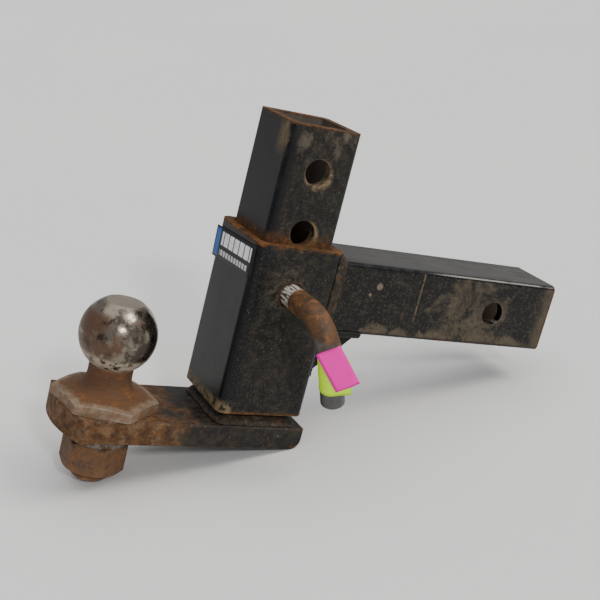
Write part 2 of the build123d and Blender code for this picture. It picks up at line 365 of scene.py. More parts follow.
# Paper, label and floor.
YELLOW, YELLOW_FOLD = (0.56, 0.90, 0.0), (0.46, 0.78, 0.0)
PINK, PINK_FOLD = (1.0, 0.004, 0.44), (0.92, 0.0, 0.38)
PAPER_WHITE = (0.62, 0.60, 0.57)
PAPER_GREY = (0.52, 0.49, 0.44)
LABEL_BLACK = (0.007, 0.007, 0.008)
LABEL_BLUE = (0.010, 0.100, 0.360)
LABEL_PALE = (0.80, 0.80, 0.79)
FLOOR_PALE = (0.74, 0.735, 0.73)
FLOOR_WARM = (0.76, 0.745, 0.725)


# ---- Coats that several pieces share ----------------------------------------------------------
def rust_colour(f, seed=0.0, bright=0.5):
    """Three rust tones in blotches. bright sets how much of it is orange."""
    base = f.blend(f.blotches(0.35, 0.65, 5.0, 8, 0.7, seed=seed), RUST_DARK, RUST)
    spots = f.blotches(0.72 - 0.3 * bright, 0.85 - 0.2 * bright, 9.0, 8, 0.72, seed=seed + 1)
    return f.blend(spots, base, RUST_ORANGE)


def rust(f, mask, seed=0.0, bright=0.5, height=0.12):
    """Rust that stands a little proud of the surface, with a fine grain."""
    grain = f.noise(0.9, 6, 0.7, seed=seed + 2)
    f.lay(mask, rust_colour(f, seed, bright), f.mix(grain, 0.7, 0.95))
    f.emboss(f.times(mask, f.add(grain, f.noise(3.5, 4, 0.6, seed=seed + 3))), height)


def painted(name, base, rough=0.38, specular=0.2):
    """Thin satin black paint over steel, with the faint ripple of rolled tube beneath it."""
    f = Finish(name, base, rough, specular=specular)
    f.emboss(f.noise(14.0, 3, 0.5), 0.10)
    f.emboss(f.noise(0.8, 3, 0.6), 0.010)
    shade = f.blotches(0.35, 0.7, 22.0, 6, 0.65, seed=4)
    f.lay(f.times(shade, 0.5), CHARCOAL, f.mix(f.noise(6.0, 5, 0.6, seed=5), rough, rough + 0.2))
    return f


def grit(f, mask, strength, seed):
    """Fine grey dust caught in the grain of the paint."""
    dust = f.blotches(0.52, 0.66, 1.5, 5, 0.75, seed=seed)
    f.lay(f.times(dust, mask, strength), DUST, 0.75)


def scratches(f, mask, along, seed=0.0):
    """Fine bright lines, long in one direction."""
    lines = f.noise(1.1, 2, 0.5, stretch=along, seed=seed)
    patch = f.blotches(0.5, 0.62, 16.0, 4, 0.6, seed=seed + 1)
    cut = f.times(f.step(lines, 0.685, 0.72), patch, mask)
    f.lay(f.times(cut, 0.35), BARE_STEEL, 0.4, 0.6, -0.03)


def glossy_corner(f, shine=0.75):
    """The rounded edges get a darker, bluer and shinier coat than the faces: painted shade and a painted
    bluish reflection on the rounding.
    """
    mask = f.times(f.corner(), f.blotches(0.68, 0.45, 9.0, 6, 0.65, seed=8), shine)
    f.lay(mask, SHADE_BLUE_BLACK, 0.22)


def chips(f, kinds, strength, mask=1.0, height=0.0):
    """Small pale chips. Each kind has its cells' size, its chips' radius and how many extra it keeps."""
    for size, radius, extra in kinds:
        f.lay(f.times(f.specks(size, radius, extra), mask, strength), CHIP, 0.7, height=height)


def worn_edges(f, radius, size, strength, rough, metal, seed):
    """Sharp edges rubbed through to pale metal in places."""
    wear = f.times(f.edge(radius), f.blotches(0.42, 0.6, size, 5, 0.6, seed=seed))
    f.lay(f.times(wear, strength), TAN, rough, metal)


def in_bore(f, value, middle=0.0):
    """1 within the width of a square tube's bore along one axis, its walls included."""
    return f.step(f.away(value, middle), BORE + 0.95, BORE + 0.35)


# ---- A finish for each piece ------------------------------------------------------------------
def sleeve_finish():
    """Black paint: dusty sides, rust at the rim, the foot and the pin hole, painted shade beside the
    edge on the ball's side and a painted highlight along the rear edge.
    """
    f = painted("sleeve_paint", BLACK)
    high, low = SLEEVE_HIGH[2] / MM, SLEEVE_LOW[2] / MM
    middle, edge = POST_X / MM, SLEEVE_HIGH[0] / MM
    sides = f.both(f.ny)
    mottle = f.blotches(0.42, 0.64, 6.0, 9, 0.75, seed=11)
    f.lay(f.times(sides, mottle, 0.8), f.blend(f.noise(3.0, 5, 0.6, seed=12), DARK_DIRT, DIRT), 0.7)
    near_hole = f.disc(middle - 3, 4, 9, 21)
    smear = f.times(near_hole, f.blotches(0.42, 0.66, 5.0, 8, 0.7, seed=13))
    f.lay(f.times(smear, sides, 0.6), GREY_BROWN, 0.75)
    # Painted shade: a blue-black band on the front and back faces, beside the edge on the ball's side.
    painted_shade_band = f.step(f.add(f.x, f.times(f.noise(8.0, 5, 0.6, seed=21), 6.0)), middle - 17, middle - 22)
    f.lay(f.times(sides, painted_shade_band, 0.85), SHADE_BLUE_BLACK, 0.3)
    glossy_corner(f)
    kinds = ((2.6, 0.42, 0.15), (4.4, 0.70, 0.05), (1.8, 0.26, 0.2))
    chips(f, kinds, 0.75, f.mix(sides, 0.10, 1.0), 0.02)
    grit(f, sides, 0.5, 20)
    fray = f.fray(5.0, 7.0, seed=15)
    rim = f.step(f.add(f.z, fray), high - 2.6, high - 0.6)
    foot = f.step(f.add(f.z, fray), low + 2.2, low + 0.5)
    hole = f.disc(middle, 0, 8.8, 10.2)
    on_top = f.step(f.z, high - 0.3, high - 0.05)
    # Painted highlight: a grey-brown strip on the front and back faces along the rounded rear edge.
    painted_highlight_strip = f.times(f.step(f.add(f.x, fray), edge - 3.5, edge - 1.0), sides, 0.6)
    f.lay(painted_highlight_strip, GREY_BROWN, 0.7)
    rim = f.times(rim, f.mix(sides, 0.9, 0.5))
    rust(f, f.either(rim, f.times(foot, 0.8), f.times(hole, 0.6), on_top), 16, 0.7)
    patches = f.blotches(0.68, 0.73, 11.0, 8, 0.72, seed=17)
    rust(f, f.times(patches, sides, 0.6), 18, 0.4)
    foot_spot = f.times(f.step(f.z, low + 10, low + 4), f.step(f.x, middle - 21, middle - 26),
                        f.blotches(0.40, 0.55, 5.0, 6, 0.7, seed=28))
    f.lay(f.times(foot_spot, 0.8), TAN, 0.8)
    worn_edges(f, 0.9, 4.0, 0.6, 0.5, 0.4, 19)
    f.done("sleeve_tube")


def post_finish():
    """Black paint: dusty towards the top, tan rings at the holes, rust where it enters the sleeve,
    painted shade beside the edge on the ball's side.
    """
    f = painted("post_paint", BLACK, 0.42)
    high, sleeve_top = POST_HIGH[2] / MM, SLEEVE_HIGH[2] / MM
    middle = POST_X / MM
    front = f.both(f.ny)
    flanks = f.both(f.nx)
    top = f.step(f.add(f.z, f.times(f.noise(12.0, 6, 0.65, seed=30), 40.0)), high - 10, high + 20)
    dusty = f.times(front, f.mix(top, 0.40, 1.0), f.blotches(0.38, 0.62, 8.0, 9, 0.74, seed=31))
    f.lay(dusty, f.blend(f.noise(5.0, 6, 0.7, seed=32), DARK_DIRT, DIRT), 0.75)
    grit(f, front, 0.6, 45)
    f.lay(f.times(flanks, 0.6), CHARCOAL, 0.5)
    near = f.step(f.y, POST_LOW[1] / MM + 20, POST_LOW[1] / MM + 5)
    smear = f.times(flanks, near, top, f.blotches(0.35, 0.6, 10.0, 6, 0.6, (1, 1, 2.5), 33))
    f.lay(smear, TAN, 0.8)
    scuff = f.times(front, f.blotches(0.50, 0.64, 7.0, 7, 0.7, (1, 1, 1.8), 29), f.mix(top, 0.12, 0.9))
    f.lay(scuff, GREY_BROWN, 0.7)
    # Painted shade: a blue-black band on the front and back faces, beside the edge on the ball's side.
    painted_shade_band = f.step(f.add(f.x, f.times(f.noise(8.0, 5, 0.6, seed=27), 5.0)), middle - 14, middle - 19)
    f.lay(f.times(front, painted_shade_band, 0.85), SHADE_BLUE_BLACK, 0.3)
    glossy_corner(f, 0.9)
    chips(f, ((2.6, 0.36, 0.1), (5.5, 0.7, 0.0)), 0.55)
    wavy = f.times(f.noise(6.0, 6, 0.7, seed=35), 16.0)
    band = f.step(f.add(f.z, wavy), sleeve_top + 17, sleeve_top + 8)
    rings = 0.0
    for step in range(3):
        rise = step * HOLE_PITCH / MM
        worn = f.blotches(0.35, 0.6, 4.0, 6, 0.7, seed=36 + step)
        rings = f.either(rings, f.times(f.disc(middle + 1.5, rise - 1.5, 8.9, 11.5), worn))
    f.lay(f.times(rings, 0.75), TAN, 0.7, height=-0.05)
    fray = f.fray(4.0, 6.0, seed=40)
    rim = f.step(f.add(f.z, fray), high - 1.6, high - 0.5)
    hollow = f.times(in_bore(f, f.x, middle), in_bore(f, f.y))
    f.lay(f.times(hollow, 0.8), f.blend(f.noise(9.0, 7, 0.7, seed=44), COLD_GREY, GREY_BROWN), 0.6)
    patches = f.times(f.blotches(0.64, 0.7, 9.0, 8, 0.72, seed=41), 0.5)
    marks = f.either(f.times(band, 0.92), f.times(rim, 0.9), f.times(hollow, 0.18), patches)
    rust(f, marks, 42, 0.55)
    worn_edges(f, 0.8, 5.0, 0.7, 0.45, 0.5, 43)
    f.done("post_tube")


def shank_finish():
    """Black paint: a painted grey sheen on the top and bottom faces, worn to earth round the receiver
    hole and the free end, and a painted highlight along the upper rounded edges.
    """
    f = painted("shank_paint", BLACK, 0.36)
    end, start = SHANK_HIGH[0] / MM, SHANK_LOW[0] / MM
    low = SHANK_LOW[2] / MM
    near = f.faces(f.ny, -1)
    side = f.both(f.ny)
    top = f.both(f.nz)
    # Painted sheen: the top and bottom faces lightened to grey, standing for light from above on the
    # paint.
    f.lay(f.times(top, 0.8), TOP_SHEEN_GREY, f.mix(f.noise(7.0, 6, 0.6, (6, 1, 1), 50), 0.35, 0.6))
    f.lay(f.times(top, f.blotches(0.50, 0.66, 9.0, 7, 0.7, (3, 1, 1), 58), 0.6), DIRT, 0.65)
    wide = f.noise(22.0, 8, 0.68, seed=51, bend=0.6)
    by_hole = f.times(f.disc(-20, -8, 10, 58), 0.165)
    broken_up = f.blotches(0.26, 0.52, 3.0, 6, 0.75, seed=66)
    worn = f.times(f.step(f.add(by_hole, wide), 0.56, 0.74), broken_up)
    at_foot = f.times(f.step(f.z, low + 15, low + 2), f.step(f.x, start + 22, start + 42), 0.17)
    worn = f.either(worn, f.step(f.add(at_foot, wide), 0.60, 0.70))
    at_end = f.step(f.add(f.x, f.times(f.noise(9.0, 6, 0.7, seed=52), 14.0)), end - 7, end + 4)
    tone = f.blend(f.noise(4.0, 8, 0.7, seed=53), DARK_DIRT, EARTH)
    f.lay(f.times(side, f.either(worn, f.times(at_end, 0.9)), 0.85), tone, 0.78, height=-0.05)
    f.lay(f.times(side, f.blotches(0.5, 0.68, 6.0, 9, 0.75, seed=54), 0.55), DIRT, 0.72)
    grit(f, side, 0.7, 65)
    glossy_corner(f, 0.85)
    chips(f, ((2.4, 0.36, 0.12), (5.0, 0.7, 0.0)), 0.6, side)
    spot = f.either(f.disc(start + 37.5, 10.8, 1.9, 2.9), f.disc(start + 31.5, 4.5, 0.8, 1.6))
    f.lay(f.times(near, spot, 0.8), DRIED_MUD, 0.7, height=0.1)
    thin = f.step(f.away(f.x, start + 72.0), 1.0, 0.4)
    gaps = f.blotches(0.3, 0.55, 3.0, 4, 0.6, seed=56)
    line = f.times(thin, f.step(f.z, -14, -8), near, gaps)
    f.lay(f.times(line, 0.45), TAN, 0.7)
    scratches(f, top, (14, 1.2, 1.2), 59)
    # Painted highlight: broken pale metallic dashes along the upper rounded edges, towards the free end.
    shoulder = f.step(f.math("ABSOLUTE", f.add(f.nz, -0.72)), 0.16, 0.05)
    dashes = f.blotches(0.38, 0.5, 8.0, 5, 0.6, (4, 1, 1), 67)
    painted_glint = f.times(shoulder, f.step(f.x, start + 70, start + 105), dashes)
    f.lay(f.times(painted_glint, 0.8), PAINTED_GLINT, 0.35, 0.8)
    fray = f.fray(4.0, 7.0, seed=60)
    rim = f.step(f.add(f.x, fray), end - 2.0, end - 0.6)
    broken = f.blotches(0.42, 0.6, 12.0, 5, 0.6, seed=61)
    under = f.times(f.step(f.add(f.z, fray), low + 3.0, low + 1.0), broken)
    hollow = f.times(in_bore(f, f.y), in_bore(f, f.z))
    f.lay(f.times(hollow, 0.9), f.blend(f.noise(8.0, 7, 0.7, seed=64), GREY_BROWN, PALE_EARTH), 0.75)
    rust(f, f.either(f.times(rim, 0.85), f.times(under, 0.7), f.times(hollow, 0.20)), 62, 0.45)
    worn_edges(f, 0.8, 5.0, 0.7, 0.45, 0.5, 63)
    f.done("shank_tube")


def gusset_finish():
    """Black paint over both gussets, dirty and rusting in patches."""
    f = painted("gusset_paint", BLACK, 0.5)
    f.lay(f.blotches(0.5, 0.66, 6.0, 8, 0.7, seed=70), DARK_DIRT, 0.8)
    chips(f, ((3.0, 0.45, 0.0),), 0.6)
    by_edge = f.add(f.times(f.edge(1.2), 0.3), f.noise(8.0, 8, 0.7, seed=71))
    rust(f, f.step(by_edge, 0.62, 0.72), 72, 0.4)
    f.done("gusset_near")
    dress(frame["nodes"]["gusset_far"], f.material)


def platform_finish():
    """Black paint at the rear, eaten by rust towards the ball."""
    f = Finish("platform_rust", BLACK, 0.5, specular=0.3)
    f.emboss(f.noise(10.0, 4, 0.55), 0.35)
    tone = f.blend(f.noise(3.0, 6, 0.7, seed=81), DARK_DIRT, DIRT)
    f.lay(f.blotches(0.42, 0.62, 7.0, 9, 0.75, seed=80), tone, 0.8)
    chips(f, ((2.8, 0.45, 0.1), (5.0, 0.8, 0.0)), 0.7)
    spread = f.add(f.fray(20.0, 110.0, 9, 0.7, seed=82), f.x)
    eaten = f.step(spread, BALL_X / MM + 60, BALL_X / MM + 34)
    patches = f.blotches(0.56, 0.64, 9.0, 9, 0.74, seed=83)
    lips = f.times(f.edge(2.0), f.blotches(0.4, 0.55, 7.0, 6, 0.7, seed=84))
    rust(f, f.either(f.times(eaten, 0.92), f.times(patches, 0.65), f.times(lips, 0.7)), 85, 0.55, 0.22)
    wash = f.times(eaten, f.blotches(0.46, 0.62, 6.0, 8, 0.72, seed=87))
    f.lay(f.times(wash, 0.65), RUST_WASH, 0.85)
    wear = f.times(f.edge(0.7), f.blotches(0.52, 0.62, 5.0, 5, 0.6, seed=86))
    f.lay(f.times(wear, 0.6), WORN_LIP, 0.5, 0.5)
    f.done("ball_platform")


def weld_finish(name, paint, seed):
    """Weld metal: dark brown scale with patches of rust, and paint left on part of it."""
    f = Finish(name, WELD_SCALE, 0.6, 0.2, specular=0.25)
    f.lay(f.blotches(0.48, 0.66, 4.0, 7, 0.7, seed=seed), WELD_BROWN, 0.7, 0.1)
    rust(f, f.times(f.blotches(0.54, 0.66, 6.0, 8, 0.72, seed=seed + 1), 0.8), seed + 2, 0.6)
    painted_over = f.step(f.noise(7.0, 7, 0.7, seed=seed + 3), 0.9 - paint * 0.65, 1.0 - paint * 0.65)
    f.lay(painted_over, BLACK, 0.45)
    chips(f, ((2.6, 0.4, 0.1),), 0.5)
    return f.done()


def ball_surface(f, dx, dz):
    """The ball itself: polished steel under brown and dark films, with pits, a flat top and a painted
    floor reflection low down.
    """
    f.rough = f.mix(f.blotches(0.4, 0.7, 3.0, 7, 0.7, seed=92), 0.13, 0.36)
    aside = f.add(f.times(dx, 0.87), f.times(f.y, -0.43))
    film = f.add(f.times(aside, -0.008), f.noise(16.0, 7, 0.68, seed=93, bend=0.4))
    brown = f.times(f.step(film, 0.42, 0.54), f.step(f.away(dz), 18, 14), 0.92)
    tone = f.blend(f.noise(6.0, 6, 0.65, seed=94), BROWN_FILM, BROWN_FILM_LIGHT)
    f.lay(brown, tone, f.mix(f.noise(2.0, 5, 0.6, seed=95), 0.34, 0.6), 0.35)
    dark = f.step(f.add(f.times(aside, 0.004), f.noise(10.0, 7, 0.7, seed=96)), 0.47, 0.60)
    f.lay(f.times(dark, 0.85), DARK_FILM, 0.26, 0.8)
    pits = f.either(f.specks(2.6, 0.55, 0.1), f.specks(1.6, 0.3, 0.1))
    f.lay(f.times(pits, 0.85), RUST_DARK, 0.8, 0.0, -0.08)
    # Painted reflection: a broken pale band round the lower ball, where the floor shows in the steel.
    floor_reflection_band = f.times(f.step(dz, -9, -13), f.step(dz, -23, -19))
    broken = f.blotches(0.38, 0.52, 5.0, 8, 0.72, seed=97)
    f.lay(f.times(floor_reflection_band, broken, 0.85), FLOOR_REFLECTION_PALE, 0.6, 0.1)
    flat = f.times(f.faces(f.nz, 1), f.step(dz, 20, 21.5))
    tone = f.blend(f.noise(4.0, 7, 0.7, seed=98), FLAT_DARK, FLAT_PALE)
    f.lay(f.times(flat, 0.9), tone, 0.5, 0.5)


def neck_surface(f, dz, stem):
    """Below the ball: red and orange rust, shaded under the ball, with turning marks on the neck."""
    below = f.step(f.add(dz, f.times(f.noise(5.0, 6, 0.7, seed=99), 5.0)), -17.5, -20.5)
    tone = f.blend(f.noise(7.0, 8, 0.7, seed=100), NECK_DARK, NECK_RED)
    f.lay(f.either(below, stem), tone, 0.8)
    orange = f.blotches(0.52, 0.64, 8.0, 8, 0.72, seed=101)
    f.lay(f.times(stem, orange, 0.85), NECK_ORANGE, 0.85)
    shade = f.times(stem, f.step(dz, -42, -34))
    f.lay(f.times(shade, 0.55), NECK_SHADE, 0.8)
    turned = f.math("SINE", f.times(f.z, 4.2))
    f.emboss(f.times(f.step(dz, -20, -22), f.step(dz, -40, -37), turned), 0.10)
    f.emboss(f.times(stem, f.noise(1.0, 7, 0.72, seed=102)), 0.20)
    f.emboss(f.times(stem, f.noise(4.0, 5, 0.6, seed=103)), 0.22)


def foot_surface(f, dx, stem):
    """The hexagonal foot: grey-brown scale towards its six sides, a dark crust, and rubbed edges."""
    out = 0.0
    for turn in range(3):
        facing = FLANGE_TURN + math.radians(30 + 60 * turn)
        reach = f.add(f.times(dx, math.cos(facing)), f.times(f.y, math.sin(facing)))
        out = f.either(out, f.away(reach))
    ragged = f.add(out, f.fray(5.0, 9.0, 6, 0.66, seed=104))
    scaled = f.mix(f.blotches(0.38, 0.62, 6.0, 7, 0.7, seed=107), 0.25, 0.85)
    tone = f.blend(f.noise(2.5, 6, 0.7, seed=105), SCALE_BROWN, SCALE_GREY)
    f.lay(f.times(stem, f.step(ragged, 24.5, 29.0), scaled), tone, 0.65, 0.2)
    crust = f.times(stem, f.blotches(0.55, 0.68, 3.2, 8, 0.75, seed=108))
    f.lay(f.times(crust, 0.6), CRUST, 0.85, height=-0.06)
    rubbed = f.times(stem, f.edge(1.6), f.blotches(0.40, 0.55, 4.0, 6, 0.66, seed=106))
    f.lay(f.times(rubbed, 0.7), RUBBED_STEEL, 0.5, 0.4)


def ball_finish():
    """The ball's forging. Heights are measured from the ball's centre."""
    f = Finish("ball_steel", BALL_STEEL, 0.24, 1.0)
    f.emboss(f.noise(5.0, 4, 0.6, seed=90), 0.08)
    f.emboss(f.noise(1.1, 6, 0.7, seed=91), 0.03)
    dx = f.math("SUBTRACT", f.x, BALL_X / MM)
    dz = f.math("SUBTRACT", f.z, (BALL_HIGH[2] - BALL_CROWN) / MM)
    stem = f.step(dz, -19, -22)
    ball_surface(f, dx, dz)
    neck_surface(f, dz, stem)
    foot_surface(f, dx, stem)
    f.done("hitch_ball")


def nut_finish():
    """The nut, all rust, and the washer, steel that is still bare in places."""
    f = Finish("nut_rust", NUT_RUST, 0.75)
    f.lay(f.blotches(0.4, 0.6, 6.0, 8, 0.7, seed=110), NUT_RED, 0.8)
    f.lay(f.blotches(0.48, 0.62, 6.0, 8, 0.75, seed=111), NUT_DARK, 0.85)
    f.lay(f.blotches(0.60, 0.7, 7.0, 9, 0.74, seed=112), RUST_ORANGE, 0.85)
    f.emboss(f.noise(1.0, 7, 0.72, seed=113), 0.22)
    f.emboss(f.noise(5.0, 5, 0.6, seed=114), 0.35)
    wear = f.times(f.edge(1.2), f.blotches(0.46, 0.6, 4.0, 6, 0.66, seed=115))
    f.lay(f.times(wear, 0.6), NUT_WORN, 0.5, 0.5)
    f.done("ball_nut")
    w = Finish("washer_steel", WASHER_STEEL, 0.5, 0.5)
    rust(w, w.blotches(0.44, 0.58, 7.0, 7, 0.7, seed=116), 117, 0.4)
    w.done("lock_washer")


def pin_finish():
    """Rusty steel: grey streaks down the grip, scraped bright where it leaves the sleeve."""
    f = Finish("pin_rust", PIN_RUST, 0.65, 0.15)
    f.emboss(f.noise(0.9, 6, 0.7, seed=120), 0.08)
    f.emboss(f.noise(4.0, 4, 0.6, seed=121), 0.12)
    f.lay(f.blotches(0.42, 0.62, 7.0, 8, 0.7, seed=122), PIN_DARK, 0.65, 0.15)
    f.lay(f.blotches(0.5, 0.64, 9.0, 8, 0.72, seed=123), PIN_ORANGE, 0.75)
    bend_y, grip_z = BEND_START[1] / MM - 12, BEND_START[2] / MM - 32
    grip = f.times(f.step(f.y, bend_y + 8, bend_y - 2), f.step(f.z, -9, -16))
    streaks = f.blotches(0.36, 0.56, 5.0, 6, 0.65, (1, 1, 2.5), 124)
    f.lay(f.times(grip, f.mix(streaks, 0.35, 0.9)), GRIP_GREY, 0.4, 0.4)
    last = f.times(f.step(f.z, grip_z - 4, grip_z - 10), grip)
    tone = f.blend(f.noise(4.0, 6, 0.6, seed=125), GRIP_END_DARK, GRIP_END_GREY)
    f.lay(f.times(last, 0.85), tone, 0.42, 0.5)
    outer = SLEEVE_LOW[1] / MM
    mouth = f.times(f.step(f.y, outer - 12, outer - 8.5), f.step(f.y, outer + 2, outer - 1))
    facing = f.step(f.add(f.times(f.nx, -0.75), f.times(f.nz, 0.45)), 0.25, 0.6)
    rubbed = f.noise(1.5, 2, 0.5, (0.8, 5, 0.8), 126)
    shine = f.times(mouth, f.step(rubbed, 0.42, 0.50), f.mix(facing, 0.2, 1.0))
    f.lay(f.times(mouth, facing, 0.8), MOUTH_BROWN, 0.5, 0.3)
    f.lay(shine, SCRAPED, 0.35, 0.3)
    f.lay(f.times(f.step(f.y, outer - 1, outer + 3), 0.7), SHAFT_STEEL, 0.35, 0.9)
    f.done("pull_pin")


def paper(name, colour, fold):
    """Bright paper with faint darker blotches and shallow creases."""
    f = Finish(name, colour, 0.55, specular=0.3)
    f.lay(f.times(f.blotches(0.4, 0.7, 9.0, 4, 0.5, seed=130), 0.25), fold, 0.6)
    f.emboss(f.noise(0.5, 4, 0.6, seed=131), 0.012)
    f.emboss(f.noise(8.0, 3, 0.5, seed=132), 0.10)
    return f.done()


def paper_back():
    """The unprinted side of the tags."""
    f = Finish("paper_back", PAPER_WHITE, 0.7, specular=0.3)
    f.lay(f.blotches(0.4, 0.7, 6.0, 4, 0.6, seed=133), PAPER_GREY, 0.7)
    return f.done()


def label_finish():
    """A black plate with a blue end and two rows of plain pale blocks, placed by its UV map."""
    f = Finish("label_print", LABEL_BLACK, 0.5, specular=0.25)
    uv = f.node("ShaderNodeUVMap", uv_map="label")
    split = f.node("ShaderNodeSeparateXYZ")
    f.link(uv.outputs[0], split.inputs[0])
    along, up = split.outputs[0], split.outputs[1]

    def bar(left, right, low, high, soft=0.008):
        """A soft-edged rectangle, from 0 to 1 along the label and up it."""
        wide = f.times(f.step(along, left, left + soft), f.step(along, right, right - soft))
        return f.times(wide, f.step(up, low, low + 3 * soft), f.step(up, high, high - 3 * soft))

    f.lay(bar(0.02, 0.13, 0.05, 0.95), LABEL_BLUE, 0.45)
    rubbed = f.blotches(0.68, 0.54, 1.6, 6, 0.7, seed=134)
    gaps = f.step(f.math("SINE", f.times(along, 47.0)), -0.97, -0.75)
    small_gaps = f.step(f.math("SINE", f.times(along, 88.0)), -0.8, -0.4)
    large = f.times(bar(0.17, 0.95, 0.44, 0.90), gaps)
    small = f.times(bar(0.17, 0.92, 0.12, 0.32), small_gaps, 0.7)
    f.lay(f.times(f.either(large, small), rubbed), LABEL_PALE, 0.4)
    f.lay(f.times(f.blotches(0.58, 0.70, 7.0, 7, 0.7, seed=135), 0.6), DIRT, 0.7)
    f.round = 0.0
    return f.done()


# ---- Pieces built here ------------------------------------------------------------------------
def add_piece(name, mesh, body, slot, *replaced):
    """A new object that rides on a body and may stand for CAD nodes."""
    obj = bpy.data.objects.new(name, mesh)
    bpy.context.collection.objects.link(obj)
    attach(obj, body)
    if replaced:
        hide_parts(*replaced)
    return obj


def applied(obj):
    """The object's mesh with its modifiers worked in."""
    depsgraph = bpy.context.evaluated_depsgraph_get()
    mesh = bpy.data.meshes.new_from_object(obj.evaluated_get(depsgraph))
    obj.modifiers.clear()
    obj.data = mesh
    return mesh


def weld_run(node, point):
    """How far along its bead a point lies, in metres: round a tube's square, or along a gusset."""
    if node == "gusset_welds":
        return point.x + point.z
    if node == "shank_weld":
        return point.z if abs(point.y) > abs(point.z) else point.y
    x = point.x - POST_X
    return point.y if abs(x) > abs(point.y) else x


def weld_bead(node, body, swell, paint, seed):
    """A laid bead: the CAD solid swollen a little, with ripples across it and uneven edges."""
    obj = add_piece(node + "_bead", frame["nodes"][node].data.copy(), body, "weld_bead", node)
    remesh = obj.modifiers.new("even", "REMESH")
    remesh.mode = "VOXEL"
    remesh.voxel_size = WELD_GRAIN
    mesh = applied(obj)
    push = []
    for vertex in mesh.vertices:
        point = vertex.co
        bent = noise.noise(point / (7 * MM) + Vector((seed, 0, 0)))
        phase = weld_run(node, point) / WELD_PITCH + 0.8 * bent
        ripple = abs(math.sin(math.pi * phase))
        rough = noise.noise(point / (2.2 * MM) + Vector((0, seed, 0)))
        push.append(swell * MM * (0.3 + 0.6 * ripple + 0.8 * bent + 0.35 * rough))
    normals = [n.vector.copy() for n in mesh.vertex_normals]
    for vertex, normal, out in zip(mesh.vertices, normals, push):
        vertex.co += normal * out
    mesh.shade_smooth()
    dress(obj, weld_finish(node + "_metal", paint, seed))


def stud_thread():
    """The thread on the stud's end, below the nut: a ridge that climbs round it."""
    low, high = BALL_LOW[2] + 1.6 * MM, NUT_LOW[2]
    steps = 48
    half = THREAD_PITCH * 0.42
    root, crest, land = STUD_R - 0.3 * MM, 0.45 * MM, 0.2 * MM
    rise = THREAD_PITCH / steps
    count = int((high - low - 2 * half) / rise)
    work = bmesh.new()
    rows = []
    for i in range(count + 1):
        turn = 2 * math.pi * i / steps
        fade = min(1.0, i / 6, (count - i) / 6)
        z = low + half + i * rise
        tip = STUD_R + crest * fade
        row = []
        for radius, lift in ((root, -half), (tip, -land), (tip, land), (root, half)):
            x, y = BALL_X + radius * math.cos(turn), radius * math.sin(turn)
            row.append(work.verts.new((x, y, z + lift)))
        rows.append(row)
    for a, b in zip(rows, rows[1:]):
        for j in range(4):
            k = (j + 1) % 4
            work.faces.new((a[j], b[j], b[k], a[k]))
    work.faces.new(rows[0])
    work.faces.new(rows[-1][::-1])
    bmesh.ops.recalc_face_normals(work, faces=work.faces)
    mesh = bpy.data.meshes.new("stud_thread")
    work.to_mesh(mesh)
    work.free()
    obj = add_piece("stud_thread", mesh, "ball_mount", "rusty_fastener")
    dress(obj, bpy.data.materials["nut_rust"])


def grip_place(from_end):
    """A frame on the grip: Z runs down it, and X points to the side where the flat tag sits."""
    out, down = Vector((0, -1, 0)), Vector((math.sin(PIN_SWING), 0, -math.cos(PIN_SWING)))
    bend_end = BEND_START + PIN_BEND_R * (down * (1 - math.cos(PIN_BEND)) + out * math.sin(PIN_BEND))
    along = out * math.cos(PIN_BEND) + down * math.sin(PIN_BEND)
    across = out * math.sin(PIN_BEND) - down * math.cos(PIN_BEND)
    turn = Matrix((across, along.cross(across), along)).transposed().to_4x4()
    spot = bend_end + along * (PIN_GRIP - from_end)
    return Matrix.Translation(spot) @ turn @ Matrix.Rotation(WRAP_TURN, 4, "Z")


def grid_mesh(name, rows):
    """A smooth sheet through rows of points. Its UV map, called label, spans it once."""
    mesh = bpy.data.meshes.new(name)
    wide = len(rows[0])
    faces = []
    for i in range(len(rows) - 1):
        for j in range(wide - 1):
            k = i * wide + j
            faces.append((k, k + 1, k + wide + 1, k + wide))
    mesh.from_pydata([p for row in rows for p in row], [], faces)
    uv = mesh.uv_layers.new(name="label")
    for loop in mesh.loops:
        i, j = divmod(loop.vertex_index, wide)
        uv.data[loop.index].uv = (j / (wide - 1), i / (len(rows) - 1))
    mesh.shade_smooth()
    return mesh


def thicken(obj, front, back, thick):
    """Give a sheet its thickness, with a material on each side."""
    obj.data.materials.append(front)
    obj.data.materials.append(back)
    solid = obj.modifiers.new("thick", "SOLIDIFY")
    solid.thickness = thick
    solid.offset = 0
    solid.material_offset = 1
    applied(obj)


def tag_wrap(back):
    """A paper strip round the grip, its two ends stuck together as a flap."""
    place = grip_place(WRAP_FROM_END + WRAP_LONG / 2)
    out = PIN_R + 0.22 * MM
    leave = math.radians(262)
    outline = [(out, -WRAP_FLAP * (1 - i / 8)) for i in range(8)]
    outline += [(out * math.cos(leave * i / 40), out * math.sin(leave * i / 40)) for i in range(41)]
    meet = (out - 0.25 * MM, -1.16 * out)
    last = outline[-1]
    for i in range(1, 7):
        part = i / 6
        outline.append((last[0] + (meet[0] - last[0]) * part, last[1] + (meet[1] - last[1]) * part))
    outline.append((meet[0], -WRAP_FLAP))
    rows = []
    for i in range(15):
        z = WRAP_LONG * (i / 14 - 0.5)
        row = []
        for x, y in outline:
            crease = 0.35 * MM * noise.noise(Vector((x, y, z)) / (6 * MM))
            curl = 1.2 * MM * max(0.0, -y / WRAP_FLAP - 0.55) * (z / WRAP_LONG)
            swell = 1 + max(crease, -0.05 * MM) / out
            row.append(place @ Vector((x * swell + curl, y * swell, z)))
        rows.append(row)
    mesh = grid_mesh("tag_wrap_paper", rows)
    obj = add_piece("tag_wrap_paper", mesh, "pull_pin", "yellow_tag", "tag_wrap")
    thicken(obj, paper("yellow_paper", YELLOW, YELLOW_FOLD), back, PAPER)


